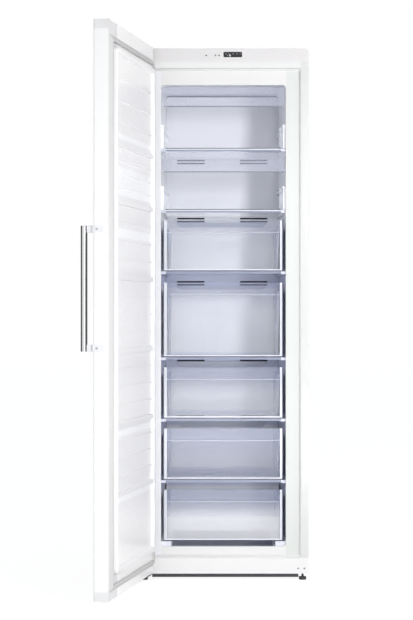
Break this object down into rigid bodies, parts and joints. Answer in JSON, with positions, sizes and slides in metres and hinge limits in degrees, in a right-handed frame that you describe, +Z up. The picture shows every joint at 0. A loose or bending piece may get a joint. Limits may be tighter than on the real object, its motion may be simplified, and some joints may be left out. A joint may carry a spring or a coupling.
{
  "type": "upright freezer",
  "caption": "Tall white single-door frost-free upright freezer, door open, with clear drawers, glass shelves, two compartment flaps and a bar handle.",
  "frame": {"origin": "on the floor under the middle of the cabinet's 595 by 595 mm footprint, where the feet and rollers stand", "axes": "+X to the right as seen from the front, the cabinet's front faces -Y, +Z up"},
  "size_m": [0.7521, 1.2037, 1.8645],
  "materials": {
    "white_enamel": "gloss",
    "liner_white": "satin",
    "fascia_white": "satin",
    "foam": "matte",
    "zinc_sheet": "satin",
    "steel": "satin",
    "black_metal": "satin",
    "black_plastic": "matte",
    "display_black": "gloss",
    "board_green": "satin",
    "shelf_glass": "gloss",
    "trim_pale": "satin",
    "drawer_clear": "gloss",
    "flap_clear": "gloss",
    "gasket_grey": "matte",
    "handle_chrome": "polished",
    "bracket_pale": "satin",
    "rubber_black": "matte",
    "copper_tube": "satin",
    "fin_aluminium": "satin",
    "grey_plastic": "matte"
  },
  "bodies": {
    "cabinet": {"cabinet_wrapper": "white_enamel", "cabinet_liner": "liner_white", "cabinet_foam": "foam", "back_panel": "zinc_sheet", "base_pan": "zinc_sheet", "lower_front_rail": "white_enamel", "base_strip": "black_plastic", "control_fascia": "fascia_white", "display_window": "display_black", "control_board": "board_green", "shelf_trims": "trim_pale", "air_duct_cover": "liner_white", "evaporator": "fin_aluminium", "fan_motor": "grey_plastic", "compressor": "black_metal", "compressor_mounts": "rubber_black", "refrigerant_tubes": "copper_tube", "drip_tray": "grey_plastic", "drain_tube": "grey_plastic", "rear_cover": "zinc_sheet", "cable_inlet": "black_plastic", "top_hinge_bracket": "black_metal", "bottom_hinge_bracket": "black_metal", "top_hinge_cover": "fascia_white", "hinge_pins": "steel", "frame_screws": "steel", "roller_axles": "steel", "glass_shelf_1": "shelf_glass", "glass_shelf_2": "shelf_glass", "glass_shelf_3": "shelf_glass", "glass_shelf_4": "shelf_glass", "glass_shelf_5": "shelf_glass", "glass_shelf_6": "shelf_glass"},
    "door": {"door_skin": "white_enamel", "door_foam": "foam", "door_liner": "liner_white", "door_gasket": "gasket_grey", "door_top_cap": "fascia_white", "door_bottom_cap": "fascia_white", "hinge_bushes": "black_plastic", "handle_bar": "handle_chrome", "handle_brackets": "bracket_pale", "handle_screws": "steel"},
    "drawer_1": {"drawer_tub_1": "drawer_clear", "drawer_front_1": "drawer_clear"},
    "drawer_2": {"drawer_tub_2": "drawer_clear", "drawer_front_2": "drawer_clear"},
    "drawer_3": {"drawer_tub_3": "drawer_clear", "drawer_front_3": "drawer_clear"},
    "drawer_4": {"drawer_tub_4": "drawer_clear", "drawer_front_4": "drawer_clear"},
    "drawer_5": {"drawer_tub_5": "drawer_clear", "drawer_front_5": "drawer_clear"},
    "flap_upper_body": {"flap_upper": "flap_clear"},
    "flap_lower_body": {"flap_lower": "flap_clear"},
    "fan_rotor_body": {"fan_rotor": "black_plastic"},
    "rear_roller_left_body": {"rear_roller_left": "black_plastic"},
    "rear_roller_right_body": {"rear_roller_right": "black_plastic"},
    "front_foot_left_body": {"front_foot_left": "grey_plastic"},
    "front_foot_right_body": {"front_foot_right": "grey_plastic"}
  },
  "joints": [
    {"name": "door_hinge", "type": "hinge", "parent": "cabinet", "child": "door", "pos_m": [-0.2775, -0.3375, 0], "axis": [0, 0, -1], "range_deg": [-101.7, 28.3]},
    {"name": "drawer_1_slide", "type": "slide", "parent": "cabinet", "child": "drawer_1", "axis": [0, -1, 0], "range_m": [0, 0.2]},
    {"name": "drawer_2_slide", "type": "slide", "parent": "cabinet", "child": "drawer_2", "axis": [0, -1, 0], "range_m": [0, 0.28]},
    {"name": "drawer_3_slide", "type": "slide", "parent": "cabinet", "child": "drawer_3", "axis": [0, -1, 0], "range_m": [0, 0.28]},
    {"name": "drawer_4_slide", "type": "slide", "parent": "cabinet", "child": "drawer_4", "axis": [0, -1, 0], "range_m": [0, 0.28]},
    {"name": "drawer_5_slide", "type": "slide", "parent": "cabinet", "child": "drawer_5", "axis": [0, -1, 0], "range_m": [0, 0.28]},
    {"name": "flap_upper_hinge", "type": "hinge", "parent": "cabinet", "child": "flap_upper_body", "pos_m": [0, -0.2695, 1.72], "axis": [-1, 0, 0], "range_deg": [0, 85]},
    {"name": "flap_lower_hinge", "type": "hinge", "parent": "cabinet", "child": "flap_lower_body", "pos_m": [0, -0.2695, 1.4905], "axis": [-1, 0, 0], "range_deg": [0, 85]},
    {"name": "fan_spin", "type": "hinge", "parent": "cabinet", "child": "fan_rotor_body", "pos_m": [0, 0.1745, 0.68], "axis": [0, -1, 0], "continuous": true},
    {"name": "roller_left_spin", "type": "hinge", "parent": "cabinet", "child": "rear_roller_left_body", "pos_m": [-0.2495, 0.2625, 0.015], "axis": [1, 0, 0], "continuous": true},
    {"name": "roller_right_spin", "type": "hinge", "parent": "cabinet", "child": "rear_roller_right_body", "pos_m": [0.2495, 0.2625, 0.015], "axis": [1, 0, 0], "continuous": true},
    {"name": "foot_left_screw", "type": "hinge", "parent": "cabinet", "child": "front_foot_left_body", "pos_m": [-0.277, -0.2825, 0.03], "axis": [0, 0, 1], "continuous": true},
    {"name": "foot_right_screw", "type": "hinge", "parent": "cabinet", "child": "front_foot_right_body", "pos_m": [0.277, -0.2825, 0.03], "axis": [0, 0, 1], "continuous": true}
  ]
}
